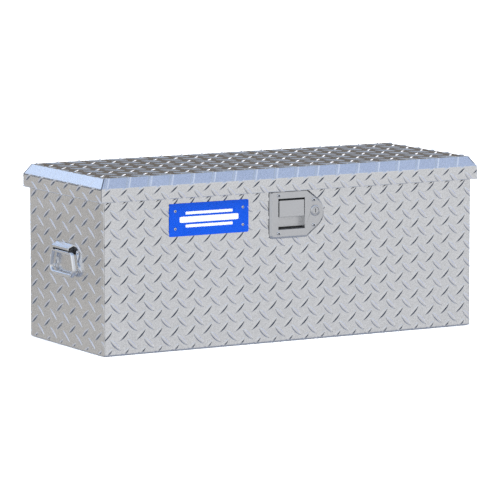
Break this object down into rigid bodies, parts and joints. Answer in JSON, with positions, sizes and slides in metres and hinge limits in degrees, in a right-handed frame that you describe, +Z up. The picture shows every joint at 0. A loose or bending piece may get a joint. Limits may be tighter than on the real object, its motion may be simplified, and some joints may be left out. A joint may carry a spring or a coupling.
{
  "type": "truck tool box",
  "caption": "Small aluminium tread-plate chest for a truck bed, with a hinged foam-filled lid on gas struts, a paddle latch with key lock and folding end handles.",
  "frame": {"origin": "middle of the footprint, on the ground", "axes": "+X towards the right end and -Y towards the latch, as seen by someone facing the latch; +Z up"},
  "size_m": [0.9248, 0.357, 0.3676],
  "materials": {
    "tread_plate": "bright diamond tread plate with a fine mill grain",
    "mill_sheet": "plain mill-finish sheet",
    "stainless": "satin stainless",
    "zinc": "clear zinc plating",
    "chrome": "bright chrome",
    "black_paint": "satin black paint",
    "rubber": "soft black rubber",
    "foam": "rigid foam with a fine cell structure",
    "blue_enamel": "glossy blue enamel on a thin metal plate"
  },
  "bodies": {
    "tub": {"tub_wrap": "tread_plate", "left_end_panel": "tread_plate", "right_end_panel": "tread_plate", "rim_front": "mill_sheet", "rim_back": "mill_sheet", "rim_left": "mill_sheet", "rim_right": "mill_sheet", "weather_seal": "rubber", "hinge_body_leaf": "mill_sheet", "hinge_pin": "stainless", "latch_pan": "stainless", "latch_gasket": "rubber", "latch_screw_upper_left": "stainless", "latch_screw_upper_right": "stainless", "latch_screw_lower_left": "stainless", "latch_screw_lower_right": "stainless", "paddle_pin": "stainless", "paddle_spring": "zinc", "latch_case": "zinc", "pawl_pin": "zinc", "pawl_spring": "zinc", "lock_sleeve": "chrome", "lock_nut": "zinc", "badge_plate": "blue_enamel", "badge_rivet_upper_left": "stainless", "badge_rivet_upper_right": "stainless", "badge_rivet_lower_left": "stainless", "badge_rivet_lower_right": "stainless", "left_handle_base": "chrome", "left_handle_rivet_upper_front": "stainless", "left_handle_rivet_upper_rear": "stainless", "left_handle_rivet_lower_front": "stainless", "left_handle_rivet_lower_rear": "stainless", "left_strut_foot": "zinc", "right_handle_base": "chrome", "right_handle_rivet_upper_front": "stainless", "right_handle_rivet_upper_rear": "stainless", "right_handle_rivet_lower_front": "stainless", "right_handle_rivet_lower_rear": "stainless", "right_strut_foot": "zinc"},
    "lid": {"lid_skin": "tread_plate", "lid_liner": "mill_sheet", "lid_core": "foam", "hinge_lid_leaf": "mill_sheet", "striker_plate": "zinc", "striker_loop": "stainless", "left_strut_hanger": "zinc", "right_strut_hanger": "zinc"},
    "paddle": {"paddle": "stainless"},
    "pawl": {"pawl": "zinc"},
    "lock": {"lock_plug": "chrome", "lock_cam": "zinc"},
    "left_bail": {"left_bail": "chrome"},
    "right_bail": {"right_bail": "chrome"},
    "left_strut_tube": {"left_strut_tube": "black_paint"},
    "left_strut_rod": {"left_strut_rod": "chrome"},
    "right_strut_tube": {"right_strut_tube": "black_paint"},
    "right_strut_rod": {"right_strut_rod": "chrome"}
  },
  "joints": [
    {"name": "lid_hinge", "type": "hinge", "parent": "tub", "child": "lid", "pos_m": [0, 0.1727, 0.3183], "axis": [-1, 0, 0], "range_deg": [0, 80]},
    {"name": "paddle_pull", "type": "hinge", "parent": "tub", "child": "paddle", "pos_m": [-0.0034, -0.1685, 0.295], "axis": [-1, 0, 0], "range_deg": [0, 35], "stiffness_Nm_per_rad": 0.05, "springref_deg": -17.19},
    {"name": "pawl_turn", "type": "hinge", "parent": "tub", "child": "pawl", "pos_m": [-0.0044, -0.137, 0.3], "axis": [1, 0, 0], "range_deg": [0, 40], "stiffness_Nm_per_rad": 0.03, "springref_deg": -17.19},
    {"name": "lock_turn", "type": "hinge", "parent": "tub", "child": "lock", "pos_m": [0.0533, -0.16, 0.2736], "axis": [0, 1, 0], "range_deg": [0, 90]},
    {"name": "left_bail_swing", "type": "hinge", "parent": "tub", "child": "left_bail", "pos_m": [-0.4558, 0, 0.199], "axis": [0, 1, 0], "range_deg": [0, 95]},
    {"name": "right_bail_swing", "type": "hinge", "parent": "tub", "child": "right_bail", "pos_m": [0.4558, 0, 0.199], "axis": [0, -1, 0], "range_deg": [0, 95]},
    {"name": "left_strut_tilt", "type": "hinge", "parent": "tub", "child": "left_strut_tube", "pos_m": [-0.412, 0.07, 0.17], "axis": [-1, 0, 0], "range_deg": [0, 18.25]},
    {"name": "left_strut_extend", "type": "slide", "parent": "left_strut_tube", "child": "left_strut_rod", "axis": [0, 0.079, 0.9969], "range_m": [0, 0.0984]},
    {"name": "right_strut_tilt", "type": "hinge", "parent": "tub", "child": "right_strut_tube", "pos_m": [0.412, 0.07, 0.17], "axis": [-1, 0, 0], "range_deg": [0, 18.25]},
    {"name": "right_strut_extend", "type": "slide", "parent": "right_strut_tube", "child": "right_strut_rod", "axis": [0, 0.079, 0.9969], "range_m": [0, 0.0984]}
  ],
  "couplings": [
    {"joint": "pawl_turn", "follows": "paddle_pull", "ratio": 1.1},
    {"joint": "left_strut_tilt", "follows": "lid_hinge", "ratio": 0.22433},
    {"joint": "left_strut_extend", "follows": "lid_hinge", "m_per_rad": 0.07009},
    {"joint": "right_strut_tilt", "follows": "lid_hinge", "ratio": 0.22433},
    {"joint": "right_strut_extend", "follows": "lid_hinge", "m_per_rad": 0.07009}
  ]
}
